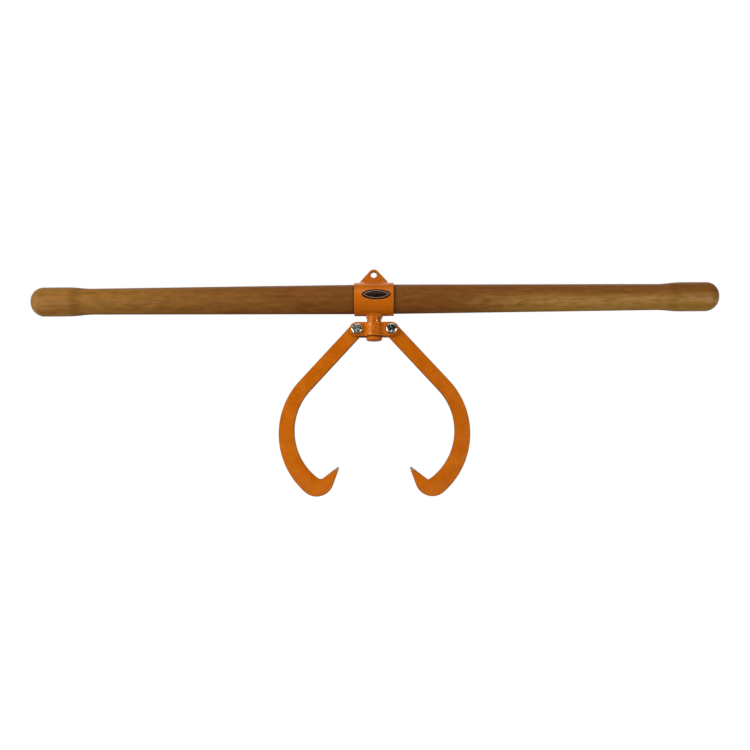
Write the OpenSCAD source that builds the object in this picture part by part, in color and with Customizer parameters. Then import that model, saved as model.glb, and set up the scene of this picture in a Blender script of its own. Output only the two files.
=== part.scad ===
// Two-person log carrier: a turned wooden handle through a steel collar, with a swivel yoke and two
// log hooks hanging below it. Millimetres, +Z up, handle along X, seen in use from the -Y side.
// The origin is the centre of the hanging eye, on top of the collar.

/* [Handle] */
// Length of the handle, end to end
handle_len = 1220; // [900:10:1500]
// Diameter of the swollen grip at each end
grip_d = 51.8; // [48:0.1:56]
// Diameter of the neck behind each grip
neck_d = 46.3; // [38:0.1:47]
// Diameter at the middle, inside the collar
middle_d = 52.4; // [48:0.1:56]
// Distance from the end to where the grip starts to narrow
grip_len = 66; // [50:1:90]
// Distance from the end to the neck
neck_at = 108; // [100:1:140]
// Rounding of the handle's ends
end_round = 22; // [5:0.5:23]

/* [Collar] */
// Outer diameter of the collar tube
collar_od = 60; // [58:0.5:64]
// Length of the collar tube
collar_len = 70; // [64:1:100]
// Chamfer round the collar's rims
collar_chamfer = 0.8; // [0.2:0.1:1.5]

/* [Hanging lug] */
// Diameter of the hanging eye
eye_d = 11; // [8:0.5:13]
// Height of the eye above the handle's axis
eye_h = 44; // [42:0.5:55]
// Thickness of the lug plate
lug_t = 8; // [6:0.5:10]
// Radius of the lug's rounded top
lug_tip_r = 9.8; // [9:0.1:11]
// Slope of the lug's sides, from upright, in degrees
lug_slope = 42; // [36:1:46]
// Size of the weld beads along the lug
lug_bead_r = 3.2; // [2:0.1:4]

/* [Swivel] */
// Diameter of the boss under the collar
boss_d = 25.4; // [24:0.1:28]
// Diameter of the swivel pin's shank
pin_d = 18; // [14:0.5:19]
// Diameter of the pin's head
pin_head_d = 28; // [27:0.5:34]
// Height of the pin's head
pin_head_h = 6.9; // [5:0.1:9]
// Size of the weld bead round the boss
boss_bead_r = 3.6; // [2.5:0.1:4]

/* [Yoke] */
// Depth of the yoke's top below the handle's axis
yoke_drop = 42.4; // [40:0.1:50]
// Height of the yoke's straps
strap_h = 25.4; // [22:0.1:30]
// Thickness of the straps
strap_t = 4.8; // [4:0.1:5.5]
// Distance between the two hook bolts
bolt_span = 61.5; // [60:0.5:70]
// Radius of the bend where a strap swells round the bush
strap_bend_r = 4; // [2:0.5:5]

/* [Hooks] */
// Thickness of the hook plate
hook_t = 9.5; // [8:0.5:10]
// Width of the hook's straight arm
arm_w = 25.4; // [22:0.1:26]
// Length of the straight arm, from the bolt to the bend
arm_len = 135; // [120:1:150]
// Outer radius of the bend
bend_r = 135; // [130:1:138]
// Angle through which the outside of the bend turns
bend_angle = 92; // [88:1:96]
// Inner radius of the bend
throat_r = 103; // [101:1:106]
// Radius of the toe, under the barb
toe_r = 29.7; // [27:0.1:32]
// Tip's distance from the bolt, along the arm
tip_along = 195; // [190:1:200]
// Tip's distance from the arm's middle line, across it
tip_across = 139.5; // [135:0.5:145]
// Angle between the barb's upper edge and the arm, in degrees
barb_tilt = 10; // [6:1:14]
// Rounding of the tip
tip_r = 1.8; // [1:0.1:2.5]
// Rounding of the notch behind the left hook's barb, ground out by hand
left_notch_r = 9; // [1:0.5:10]
// Rounding of the notch behind the right hook's barb
right_notch_r = 3.5; // [1:0.5:10]
// Angle of the left arm from upright, in the pose shown
left_rest_angle = 42.7; // [40:0.1:46]
// Angle of the right arm from upright, in the pose shown
right_rest_angle = 42.2; // [40:0.1:46]

/* [Fasteners] */
// Diameter of the hook bolts
bolt_d = 10; // [8:1:12]
// Width across the flats of bolt heads and nuts
flats = 17; // [13:1:19]
// Height of a bolt head
bolt_head_h = 6.4; // [5:0.1:8]
// Height of a lock nut, with its collar
nut_h = 10; // [8:0.5:12]
// Distance of each collar screw from the collar's middle
screw_x = 22; // [15:1:26]

/* [Clearances] */
// Radial clearance of the pin in its bush, and of the bolts in the hooks
running = 0.05; // [0.02:0.01:0.1]
// Gap on each side of a hook, between the straps
side_play = 0.2; // [0.1:0.05:0.5]
// Gap above and below the yoke, on its pin
end_play = 0.3; // [0.1:0.05:0.5]

/* [Hidden] */
$fn = 64;

paint = "#C2661E";
wood = "#8F6232";
zinc = "#A7ABAD";

// A gap between pieces that are fixed together, so that their faces meet without overlapping
seat = 0.04;
// A length beyond every piece, for cutting tools
far = 400;

collar_r = collar_od / 2;
collar_bore_r = middle_d / 2 + seat;
lug_foot = eye_h - collar_r;
boss_r = boss_d / 2;
boss_end = yoke_drop - end_play;
yoke_bottom = yoke_drop + strap_h;
pin_head_top = yoke_bottom + end_play;
pivot_x = bolt_span / 2;
pivot_z = -yoke_drop - strap_h / 2;
slot_half = hook_t / 2 + side_play;
strap_face = slot_half + strap_t;
swell_r = boss_r + strap_t;
washer_t = 2;
screw_d = 4.8;
screw_len = 24;

function along(angle) = [cos(angle), sin(angle)];
function arc(centre, r, from, to, steps) =
    [for (i = [0:steps]) centre + r * along(from + (to - from) * i / steps)];
function angle_of(v) = atan2(v[1], v[0]);
function reversed(list) = [for (i = [len(list) - 1:-1:0]) list[i]];
function flipped(list) = [for (p = list) [-p[0], p[1]]];

// Everything but the lug's eye is measured from the handle's axis
module on_handle_axis() {
    translate([0, 0, -eye_h]) children();
}

// A plate drawn as a front view, X across and Z up, of thickness t about the middle plane
module upright_plate(t) {
    rotate([90, 0, 0]) linear_extrude(t, center = true) children();
}

module tube_along_x(r, length) {
    rotate([0, 90, 0]) cylinder(h = length, r = r, center = true);
}

// Radius of the handle at a distance x from its end: the grip, the swell down to the neck, then a
// long straight taper up to the middle
function swell(x) = let (t = (x - grip_len) / (neck_at - grip_len))
    (neck_d + (grip_d - neck_d) * (1 + cos(180 * t)) / 2) / 2;

function half_profile(sign) = let (
        end = handle_len / 2,
        crown = arc([end_round, grip_d / 2 - end_round], end_round, 180, 90, 9),
        fall = [for (i = [0:10]) let (x = grip_len + (neck_at - grip_len) * i / 10) [x, swell(x)]],
        points = concat([[0, 0]], crown, fall, [[end - collar_len / 2, middle_d / 2]]))
    [for (p = points) [sign * (end - p[0]), p[1]]];

module handle() {
    left = half_profile(-1);
    right = half_profile(1);
    color(wood) on_handle_axis() difference() {
        rotate([90, 0, 90]) rotate_extrude() polygon([for (p = concat(left, reversed(right))) [p[1], p[0]]]);
        collar_screw_places() translate([0, 0, -screw_len]) cylinder(h = screw_len, r = screw_d / 2 + seat);
    }
}

// The two screw places at the back of the collar, each turned so that +Z points out of the tube
module collar_screw_places() {
    for (x = [-screw_x, screw_x])
        translate([x, collar_r, 0]) rotate([-90, 0, 0]) children();
}

module collar_tube() {
    straight = collar_len / 2 - collar_chamfer;
    outer = [[collar_bore_r, -collar_len / 2], [collar_r - collar_chamfer, -collar_len / 2],
             [collar_r, -straight], [collar_r, straight],
             [collar_r - collar_chamfer, collar_len / 2], [collar_bore_r, collar_len / 2]];
    color(paint) on_handle_axis() difference() {
        rotate([0, 90, 0]) rotate_extrude() polygon(outer);
        collar_screw_places() translate([0, 0, -2 * screw_d]) cylinder(h = 4 * screw_d, r = screw_d / 2 + 0.2);
    }
}

// Pan-head screws that keep the handle from sliding in the collar
module collar_screws() {
    head_r = screw_d;
    head_h = 3.2;
    edge_r = 1.6;
    head = concat([[0, 0], [head_r, 0]],
                  arc([head_r - edge_r, head_h - edge_r], edge_r, 0, 90, 6),
                  [[0, head_h]]);
    color(zinc) on_handle_axis() collar_screw_places() {
        rotate_extrude() polygon(head);
        translate([0, 0, 1 - screw_len]) cylinder(h = screw_len - 1, r = screw_d / 2);
    }
}

// The lug: a round top about the eye, with straight sides that run down to the collar's crown
module lug_outline() {
    shoulder = lug_tip_r * along(lug_slope);
    foot_z = 0.6 - lug_foot;
    foot_x = shoulder[0] + (shoulder[1] - foot_z) * tan(lug_slope);
    polygon(concat(arc([0, 0], lug_tip_r, lug_slope, 180 - lug_slope, 12),
                   [[-foot_x, foot_z], [-foot_x, -lug_foot - 1], [foot_x, -lug_foot - 1], [foot_x, foot_z]]));
}

module hanging_lug() {
    color(paint) difference() {
        upright_plate(lug_t) lug_outline();
        rotate([90, 0, 0]) cylinder(h = 2 * lug_t, d = eye_d, center = true);
        on_handle_axis() tube_along_x(collar_r, far);
    }
}

// A bead with round ends, laid in the corner between the lug and the collar
module lug_weld(side) {
    half = (lug_foot + lug_tip_r * sin(lug_slope)) * tan(lug_slope) + 2;
    corner_z = sqrt(collar_r * collar_r - lug_t * lug_t / 4);
    bead = concat([[0, -half - lug_bead_r]], arc([0, -half], lug_bead_r, -60, 0, 3),
                  arc([0, half], lug_bead_r, 0, 60, 3), [[0, half + lug_bead_r]]);
    color(paint) difference() {
        on_handle_axis() translate([0, side * (lug_t / 2 + 0.4), corner_z + 0.4])
            rotate([0, 90, 0]) rotate_extrude() polygon(bead);
        on_handle_axis() tube_along_x(collar_r, far);
        cube([far, lug_t, far], center = true);
    }
}

module lug_weld_front() {
    lug_weld(-1);
}

module lug_weld_back() {
    lug_weld(1);
}

module swivel_boss() {
    color(paint) on_handle_axis() difference() {
        translate([0, 0, -boss_end]) cylinder(h = boss_end - collar_r / 2, r = boss_r);
        tube_along_x(collar_r, far);
        translate([0, 0, -boss_end - 1]) cylinder(h = boss_end, d = pin_d + 2 * seat);
    }
}

// The bead runs round the boss on the saddle curve where the two tubes meet
module boss_weld() {
    steps = 36;
    sides = 8;
    track_r = boss_r + 1.1;
    centre = function (a) [track_r * cos(a), track_r * sin(a),
                           -sqrt(collar_r * collar_r - pow(track_r * sin(a), 2)) - 0.2];
    points = [for (i = [0:steps - 1]) let (a = 360 * i / steps, c = centre(a))
              for (j = [0:sides - 1]) let (b = 360 * j / sides)
              c + boss_bead_r * [cos(b) * cos(a), cos(b) * sin(a), sin(b)]];
    at = function (i, j) (i % steps) * sides + j % sides;
    faces = [for (i = [0:steps - 1], j = [0:sides - 1])
             each [[at(i, j), at(i, j + 1), at(i + 1, j)], [at(i + 1, j), at(i, j + 1), at(i + 1, j + 1)]]];
    color(paint) on_handle_axis() polyhedron(points, faces);
}

// Shank and round head, turned in one piece: the yoke turns on the shank and rests on the head
module swivel_pin() {
    edge_r = 3;
    crown = 0.8;
    head_r = pin_head_d / 2;
    top = -pin_head_top;
    bottom = top - pin_head_h;
    profile = concat([[0, -collar_r], [pin_d / 2, -collar_r], [pin_d / 2, top], [head_r - 0.6, top], [head_r, top - 0.6]],
                     arc([head_r - edge_r, bottom + crown + edge_r], edge_r, 0, -82, 8),
                     [[head_r / 2, bottom + crown / 4], [0, bottom]]);
    color(paint) on_handle_axis() rotate_extrude() polygon(profile);
}

module yoke_bush() {
    color(paint) on_handle_axis() translate([0, 0, -yoke_bottom]) difference() {
        cylinder(h = strap_h, r = boss_r - seat);
        translate([0, 0, -1]) cylinder(h = strap_h + 2, d = pin_d + 2 * running);
    }
}

// Plan of one strap, on the +Y side: two flat ears and a half-round swell that clasps the bush,
// joined by bends of strap_bend_r
module strap_plan() {
    reach = pivot_x + strap_h / 2;
    bend_y = strap_face + strap_bend_r;
    bend_x = sqrt(pow(swell_r + strap_bend_r, 2) - bend_y * bend_y);
    turn = angle_of([bend_x, bend_y]);
    outer = concat([[reach, strap_face]], arc([bend_x, bend_y], strap_bend_r, -90, turn - 180, 5),
                   arc([0, 0], swell_r, turn, 90, 8));
    inner = concat([[reach, slot_half]], arc([0, 0], boss_r, asin(slot_half / boss_r), 90, 12));
    polygon(concat(outer, reversed(flipped(outer)), flipped(inner), reversed(inner)));
}

// Draws a shape, or its mirror image across X for a side of -1
module on_side(side) {
    if (side > 0) children();
    else mirror([1, 0, 0]) children();
}

module strap() {
    on_handle_axis() difference() {
        intersection() {
            translate([0, 0, -yoke_bottom]) linear_extrude(strap_h) strap_plan();
            translate([0, 0, pivot_z]) upright_plate(far) {
                square([bolt_span, strap_h], center = true);
                for (x = [-pivot_x, pivot_x]) translate([x, 0]) circle(strap_h / 2);
            }
        }
        for (x = [-pivot_x, pivot_x])
            translate([x, 0, pivot_z]) rotate([90, 0, 0]) cylinder(h = far, r = bolt_d / 2 + seat, center = true);
    }
}

module front_strap() {
    color(paint) mirror([0, 1, 0]) strap();
}

module back_strap() {
    color(paint) strap();
}

// Four upright beads in the corners between the bush and the straps
module yoke_welds() {
    bead_r = 2.4;
    corner_x = sqrt(boss_r * boss_r - slot_half * slot_half);
    inset = 1.5;
    color(paint) on_handle_axis() difference() {
        for (x = [-corner_x - 0.6, corner_x + 0.6], y = [-slot_half, slot_half])
            translate([x, y, -yoke_bottom + inset]) cylinder(h = strap_h - 2 * inset, r = bead_r);
        translate([0, 0, -far]) cylinder(h = far, r = boss_r);
        for (side = [-1, 1]) translate([0, side * (slot_half + far / 2), 0]) cube([far, far, far], center = true);
    }
}

// A hexagon across the flats, with the corners of its outer face turned off
module hexagon_head(h) {
    intersection() {
        cylinder(h = h, r = flats / 2 / cos(30), $fn = 6);
        cylinder(h = h, r1 = flats / 2 * 0.95 + h * tan(60), r2 = flats / 2 * 0.95);
    }
}

// A place on the bolt's axis, with +Z pointing to the front; depth is the distance in front of the middle plane
module at_bolt(side, depth) {
    on_handle_axis() translate([side * pivot_x, -depth, pivot_z]) rotate([90, 0, 0]) children();
}

module hook_bolt(side) {
    grip = 2 * strap_face + washer_t + nut_h + 2;
    color(zinc) at_bolt(side, strap_face) {
        hexagon_head(bolt_head_h);
        translate([0, 0, -grip]) cylinder(h = grip, d = bolt_d);
    }
}

module hook_washer(side) {
    color(zinc) at_bolt(side, -strap_face - washer_t) difference() {
        cylinder(h = washer_t, d = 2 * bolt_d);
        translate([0, 0, -1]) cylinder(h = washer_t + 2, r = bolt_d / 2 + 0.25);
    }
}

// A lock nut: its hexagon, and the rounded collar that holds the locking ring
module hook_nut(side) {
    hexagon_h = nut_h * 0.78;
    collar_h = nut_h - hexagon_h;
    color(zinc) at_bolt(side, -strap_face - washer_t) rotate([180, 0, 0]) difference() {
        union() {
            hexagon_head(hexagon_h);
            translate([0, 0, hexagon_h]) cylinder(h = collar_h, r1 = flats / 2 * 0.95, r2 = flats / 2 * 0.82);
        }
        translate([0, 0, -1]) cylinder(h = nut_h + 2, r = bolt_d / 2 + seat);
    }
}

module left_bolt() {
    hook_bolt(-1);
}

module right_bolt() {
    hook_bolt(1);
}

module left_washer() {
    hook_washer(-1);
}

module right_washer() {
    hook_washer(1);
}

module left_nut() {
    hook_nut(-1);
}

module right_nut() {
    hook_nut(1);
}

// The hook's outline is drawn about its bolt, with the straight arm along X and the outer side of
// the bend towards +Y. Each arc runs on from its neighbour without a corner: the bend from the arm's
// outer edge, the toe from the bend, and the barb's flank from the toe.
bend_centre = [arm_len, arm_w / 2 - bend_r];
throat_centre = [arm_len, -arm_w / 2 - throat_r];
toe_centre = bend_centre + (bend_r - toe_r) * along(90 - bend_angle);
// Where the barb's upper edge and its flank would meet if the tip were sharp
tip = [tip_along, -tip_across];
flank_angle = angle_of(toe_centre - tip) - asin(toe_r / norm(toe_centre - tip));
barb_edge = along(barb_tilt);
// Distance from the tip, along the barb's upper edge moved out by gap, to the throat's circle less gap
function edge_to_throat(gap) = let (
        start = tip + gap * along(barb_tilt + 90) - throat_centre,
        b = -start * barb_edge)
    b + sqrt(b * b - start * start + pow(throat_r - gap, 2));
half_wedge = (barb_tilt - flank_angle) / 2;
tip_centre = tip + tip_r / sin(half_wedge) * along(flank_angle + half_wedge);

// Round the heel, out along the arm, round the bend and the toe to the tip, and back through the
// notch and the throat
module hook_outline(notch_r) {
    notch_centre = tip + notch_r * along(barb_tilt + 90) + edge_to_throat(notch_r) * barb_edge;
    notch_end = angle_of(notch_centre - throat_centre);
    polygon(concat(arc([0, 0], arm_w / 2, 270, 90, 24),
                   arc(bend_centre, bend_r, 90, 90 - bend_angle, 46),
                   arc(toe_centre, toe_r, 90 - bend_angle, flank_angle - 90, 18),
                   arc(tip_centre, tip_r, flank_angle - 90, barb_tilt - 270, 8),
                   arc(notch_centre, notch_r, barb_tilt - 90, notch_end, 6),
                   arc(throat_centre, throat_r, notch_end, 90, 42)));
}

module hook(side, notch_r, rest_angle) {
    color(paint) on_handle_axis() on_side(side) translate([pivot_x, 0, pivot_z]) difference() {
        upright_plate(hook_t) rotate(rest_angle - 90) hook_outline(notch_r);
        rotate([90, 0, 0]) cylinder(h = 2 * hook_t, r = bolt_d / 2 + running, center = true);
    }
}

module left_hook() {
    hook(-1, left_notch_r, left_rest_angle);
}

module right_hook() {
    hook(1, right_notch_r, right_rest_angle);
}

handle();
collar_tube();
collar_screws();
hanging_lug();
lug_weld_front();
lug_weld_back();
swivel_boss();
boss_weld();
swivel_pin();
yoke_bush();
front_strap();
back_strap();
yoke_welds();
left_bolt();
right_bolt();
left_washer();
right_washer();
left_nut();
right_nut();
left_hook();
right_hook();
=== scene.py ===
# %% [markdown]
# # A log carrier, dressed around its CAD frame
# Two people carry a log with this tool: a turned wooden handle runs through a painted steel collar,
# and a swivel yoke with two flame-cut hooks hangs below it. The CAD model already holds every size
# and joint, so this lesson loads it as a fixed frame and builds the finer, visible pieces around it.
# Nothing here moves a CAD part.

# %% Load the frame
import math

import bmesh
import bpy
from mathutils import Matrix, Quaternion, Vector, noise


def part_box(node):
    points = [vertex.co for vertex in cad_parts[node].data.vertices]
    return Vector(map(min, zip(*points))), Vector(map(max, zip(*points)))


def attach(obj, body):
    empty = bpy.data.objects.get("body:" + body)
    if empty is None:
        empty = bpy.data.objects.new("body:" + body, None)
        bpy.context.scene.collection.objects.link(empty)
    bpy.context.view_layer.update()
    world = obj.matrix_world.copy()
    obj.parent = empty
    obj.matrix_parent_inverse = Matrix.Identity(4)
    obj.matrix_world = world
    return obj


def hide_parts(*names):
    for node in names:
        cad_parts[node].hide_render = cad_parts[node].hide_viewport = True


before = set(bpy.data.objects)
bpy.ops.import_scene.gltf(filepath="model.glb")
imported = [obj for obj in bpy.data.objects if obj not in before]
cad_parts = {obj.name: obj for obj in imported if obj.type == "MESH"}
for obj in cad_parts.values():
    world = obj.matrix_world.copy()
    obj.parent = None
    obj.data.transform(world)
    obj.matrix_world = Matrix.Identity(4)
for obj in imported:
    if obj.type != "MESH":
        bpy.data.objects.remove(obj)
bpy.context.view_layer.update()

# %% [markdown]
# ## The sizes that the pieces share
# All shapes are drawn in millimetres, as on a workshop drawing, and brought to metres when a piece is
# finished. The origin is the centre of the hanging eye, X runs along the handle and the viewer is on
# the -Y side. These are the same numbers that drive the CAD model, so the pieces fit round it. Keeping
# them in one cell shows at a glance which pieces depend on each other.

# %% Shared sizes, in millimetres
axis_z = -44.0  # the handle's axis
collar_r, collar_len = 30.0, 70.0
middle_r = 26.2  # the handle at its middle, where it is thickest
boss_r = 12.7
strap_h = 25.4
pivot_x, pivot_z = 30.75, -99.1  # the hook bolts run along Y through these points
slot_half, strap_face = 4.95, 9.75  # depths of a strap's flat faces, inner and outer
bolt_r, snug_hole_r, hook_hole_r = 5.0, 5.04, 5.05
flats = 17.0  # across a bolt head or a nut
X, Y, Z = Vector((1, 0, 0)), Vector((0, 1, 0)), Vector((0, 0, 1))


def along(degrees):
    """The unit vector at an angle in the plane of a drawing."""
    return Vector((math.cos(math.radians(degrees)), math.sin(math.radians(degrees))))


def arc(centre, r, start, end, steps):
    """Points of an arc, from one angle to the other, both ends included."""
    return [Vector(centre) + r * along(start + (end - start) * i / steps) for i in range(steps + 1)]


print("collar from", -collar_len / 2, "to", collar_len / 2, "mm; bolts at", pivot_x, pivot_z)

# %% [markdown]
# ## Colours and nodes
# A colour picked from a screen is an sRGB value, while the shaders work in linear light, so one
# function turns a hex value into a linear colour. Another adds a node with its settings and links in
# one line, and takes a whole node where its first output is meant. That keeps each material readable
# as a recipe.


# %% Helpers for materials
def linear(hex_value):
    """A hex sRGB colour as the linear RGBA that the shaders use."""
    parts = [int(hex_value[i:i + 2], 16) / 255 for i in (1, 3, 5)]
    return tuple(c / 12.92 if c <= 0.04045 else ((c + 0.055) / 1.055) ** 2.4 for c in parts) + (1.0,)


def add_node(tree, kind, inputs=None, **settings):
    """Adds a node, sets its properties, and fills or links its inputs; a node means its first output."""
    node = tree.nodes.new("ShaderNode" + kind)
    for name, value in settings.items():
        setattr(node, name, value)
    for name, value in (inputs or {}).items():
        if isinstance(value, bpy.types.Node):
            value = value.outputs[0]
        if isinstance(value, bpy.types.NodeSocket):
            tree.links.new(value, node.inputs[name])
        else:
            node.inputs[name].default_value = value
    return node


def set_ramp(node, stops):
    """Gives a colour ramp its stops: position and hex colour."""
    while len(node.color_ramp.elements) < len(stops):
        node.color_ramp.elements.new(0.5)
    for element, (position, colour) in zip(node.color_ramp.elements, stops):
        element.position = position
        element.color = linear(colour)
    return node


def new_material(name):
    """A material with an empty node tree."""
    material = bpy.data.materials.new(name)
    material.use_nodes = True
    material.node_tree.nodes.clear()
    return material, material.node_tree


print("white in linear light:", linear("#FFFFFF")[0], "middle grey:", round(linear("#808080")[0], 3))

# %% [markdown]
# ## Orange enamel on steel
# The collar, yoke and hooks are mild steel under a thick sprayed enamel. Enamel dries with a fine
# unevenness called orange peel, which breaks up the highlights, and it is thin on sharp edges, where
# it rubs through first. The colour is slow noise between three close oranges. The unevenness is a
# bump, faint on flat plate and deep on formed bars and weld beads, where the steel below is uneven
# too. A value that the mesh stores in the attribute "wear_and_shade" turns the paint a broken brown
# and dulls it: on the collar's rims this is worn paint, on rounded edges it is partly worn paint and
# partly painted shade, and on undersides, side faces, the lug's eye and the top of the pin's head it
# is painted shade. The shine itself is tinted, because small highlights on this orange look orange.


# %% Material: orange enamel
def enamel(name, bare_tip=None, wave_height=0.0010, dull=0.0):
    """Sprayed enamel, duller by an added roughness. The bare tip and the wave height are in metres."""
    material, tree = new_material(name)
    place = add_node(tree, "TexCoord").outputs["Object"]
    # scales are waves per metre: clouds of about 30 mm, ripples of 4 mm and orange peel of 1.6 mm
    slow = add_node(tree, "TexNoise", {"Vector": place, "Scale": 34.0, "Detail": 3.0})
    fine = add_node(tree, "TexNoise", {"Vector": place, "Scale": 260.0, "Detail": 2.0})
    peel = add_node(tree, "TexNoise", {"Vector": place, "Scale": 620.0, "Detail": 1.0})
    both = add_node(tree, "Mix", {0: 0.35, 2: slow, 3: fine})
    tone = set_ramp(add_node(tree, "ValToRGB", {"Fac": both}),
                    [(0.34, "#BA5B05"), (0.50, "#C36207"), (0.66, "#CB6A0D")])
    # where the mesh is marked, the paint turns a broken brown: worn paint on rims, worn paint and painted
    # shade on rounded edges, painted shade on undersides, side faces and hollows
    wear_and_shade = add_node(tree, "Attribute", attribute_name="wear_and_shade")
    broken_wear_and_shade = add_node(tree, "Math", {0: wear_and_shade.outputs["Fac"], 1: fine}, operation="MULTIPLY")
    brown_share = add_node(tree, "MapRange", {"Value": broken_wear_and_shade, "From Min": 0.05, "From Max": 0.65, "To Max": 0.9})
    colour = add_node(tree, "Mix", {
        0: brown_share, 6: tone.outputs["Color"], 7: linear("#5E2C0C")}, data_type="RGBA").outputs[2]
    if bare_tip:
        # the last millimetres of a barb are rubbed down to grey steel, with a ragged border
        away = add_node(tree, "VectorMath", {0: place, 1: bare_tip}, operation="DISTANCE")
        ragged = add_node(tree, "Math", {
            0: fine, 1: 0.006, 2: away.outputs["Value"]}, operation="MULTIPLY_ADD")
        bare = add_node(tree, "MapRange", {
            "Value": ragged, "From Min": 0.0068, "From Max": 0.0088, "To Min": 1.0, "To Max": 0.0})
        colour = add_node(tree, "Mix", {
            0: bare, 6: colour, 7: linear("#8E8A80")}, data_type="RGBA").outputs[2]
    gloss = add_node(tree, "MapRange", {
        "Value": slow, "From Min": 0.3, "From Max": 0.7, "To Min": 0.16 + dull, "To Max": 0.25 + dull})
    dry = add_node(tree, "Math", {0: wear_and_shade.outputs["Fac"], 1: 0.4, 2: gloss}, operation="MULTIPLY_ADD")
    waves = add_node(tree, "Mix", {0: 0.25, 2: fine, 3: peel})
    bump = add_node(tree, "Bump", {"Height": waves, "Strength": 0.50, "Distance": wave_height})
    shader = add_node(tree, "BsdfPrincipled", {
        "Base Color": colour, "Roughness": dry, "Normal": bump, "IOR": 1.5, "Specular IOR Level": 0.4,
        "Specular Tint": linear("#FFDA98")})
    add_node(tree, "OutputMaterial", {"Surface": shader})
    return material


# smooth and glossy on the tube, the boss and the lug
paint = enamel("orange_enamel_on_steel")
# lumpy on the welds, with many small glints
weld_paint = enamel("orange_enamel_on_weld_beads", wave_height=0.0040)
# uneven on the pressed bars, so that the upright highlight is broken
strap_paint = enamel("orange_enamel_on_formed_straps", wave_height=0.0034)
# dull on the pin's head, which is rubbed and dusty
pin_paint = enamel("dry_orange_enamel_on_pin", dull=0.30)
print("made", paint.name, weld_paint.name, strap_paint.name, pin_paint.name)

# %% [markdown]
# ## Oiled hardwood
# The handle is turned from a straight-grained hardwood and oiled. Long fibres run along it, the growth
# rings come to the surface as long streaks, and the oil leaves a soft sheen. Every pattern is laid in
# the object's own coordinates and stretched along X, so that the grain runs through the wood as in a
# real blank, end grain included. A Mapping node's scales are waves per metre along X, Y and Z: mottle
# of 24 by 6 mm, streaks of 110 by 4 mm and fibres of 22 by 1 mm, as coarse as they need to show.


# %% Wood: the grain
# waves per metre, along the wood and across it
grain_waves = {"streaks": (9.0, 260.0), "fibres": (45.0, 1100.0), "mottle": (42.0, 170.0)}


def wood_grain(tree, place):
    """Rings, streaks, mottle and fibres mixed into one grain, with the last two on their own as well."""
    # the pith lies outside the blank, and the blank is cut slightly across the grain
    pith = add_node(tree, "Mapping", {
        "Vector": place, "Location": (0.0, 0.075, 0.098), "Rotation": (0.0, 0.018, 0.011)})
    wander = add_node(tree, "Mapping", {"Vector": place, "Scale": (5.0, 60.0, 60.0)})
    wavy = add_node(tree, "TexNoise", {"Vector": wander, "Scale": 1.0, "Detail": 2.0})
    shift = add_node(tree, "VectorMath", {
        0: wavy.outputs["Color"], 1: (0.0, 0.010, 0.010), 2: pith}, operation="MULTIPLY_ADD")
    rings = add_node(tree, "TexWave", {"Vector": shift, "Scale": 62.0, "Distortion": 0.6, "Detail": 1.0},
                     wave_type="RINGS", rings_direction="X")
    stretched = {}
    for what, detail, roughness in (("streaks", 4.0, 0.6), ("fibres", 3.0, 0.65), ("mottle", 3.0, 0.6)):
        lengthways, crossways = grain_waves[what]
        long_place = add_node(tree, "Mapping", {
            "Vector": place, "Scale": (lengthways, crossways, crossways)})
        stretched[what] = add_node(tree, "TexNoise", {
            "Vector": long_place, "Scale": 1.0, "Detail": detail, "Roughness": roughness})
    mottle, fibres = stretched["mottle"], stretched["fibres"]
    grain = add_node(tree, "Mix", {0: 0.10, 2: stretched["streaks"], 3: rings.outputs["Fac"]})
    grain = add_node(tree, "Mix", {0: 0.60, 2: grain, 3: mottle})
    grain = add_node(tree, "Mix", {0: 0.22, 2: grain, 3: fibres})
    return grain, mottle, fibres


for what, (lengthways, crossways) in grain_waves.items():
    print(what, round(1000 / lengthways), "by", round(1000 / crossways), "mm")

# %% [markdown]
# A tree's outer wood, the sapwood, is golden, and its heartwood is brown. The blank holds both: its
# left end is golden, its middle brown, and its right end brown above and golden below. A broken pale
# band below the line where the two meet is painted sheen. Each share is a slow ramp along X or Z with
# some noise in it, because nothing in wood ends at a ruled line.


# %% Wood: sapwood and heartwood
# the height of the band of painted sheen, in metres as in every material
sheen_band_z = -0.0550


def sapwood_share(tree, place, parts, right_reach):
    """How golden the wood is: much at the left end, and at the right end on the lower side."""
    patch_place = add_node(tree, "Mapping", {"Vector": place, "Scale": (7.0, 30.0, 30.0)})
    patches = add_node(tree, "TexNoise", {"Vector": patch_place, "Scale": 1.0, "Detail": 2.0})
    left_reach = add_node(tree, "Math", {0: patches, 1: 0.30, 2: parts["X"]}, operation="MULTIPLY_ADD")
    left_end = add_node(tree, "MapRange", {
        "Value": left_reach, "From Min": -0.36, "From Max": 0.02, "To Min": 0.50, "To Max": 0.0})
    below = add_node(tree, "Math", {0: patches, 1: 0.012, 2: parts["Z"]}, operation="MULTIPLY_ADD")
    lower_side = add_node(tree, "MapRange", {
        "Value": below, "From Min": -0.050, "From Max": -0.032, "To Min": 1.0, "To Max": 0.12})
    right_end = add_node(tree, "Math", {0: right_reach, 1: lower_side}, operation="MULTIPLY")
    return add_node(tree, "Math", {0: left_end, 1: right_end}, operation="MAXIMUM")


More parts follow.
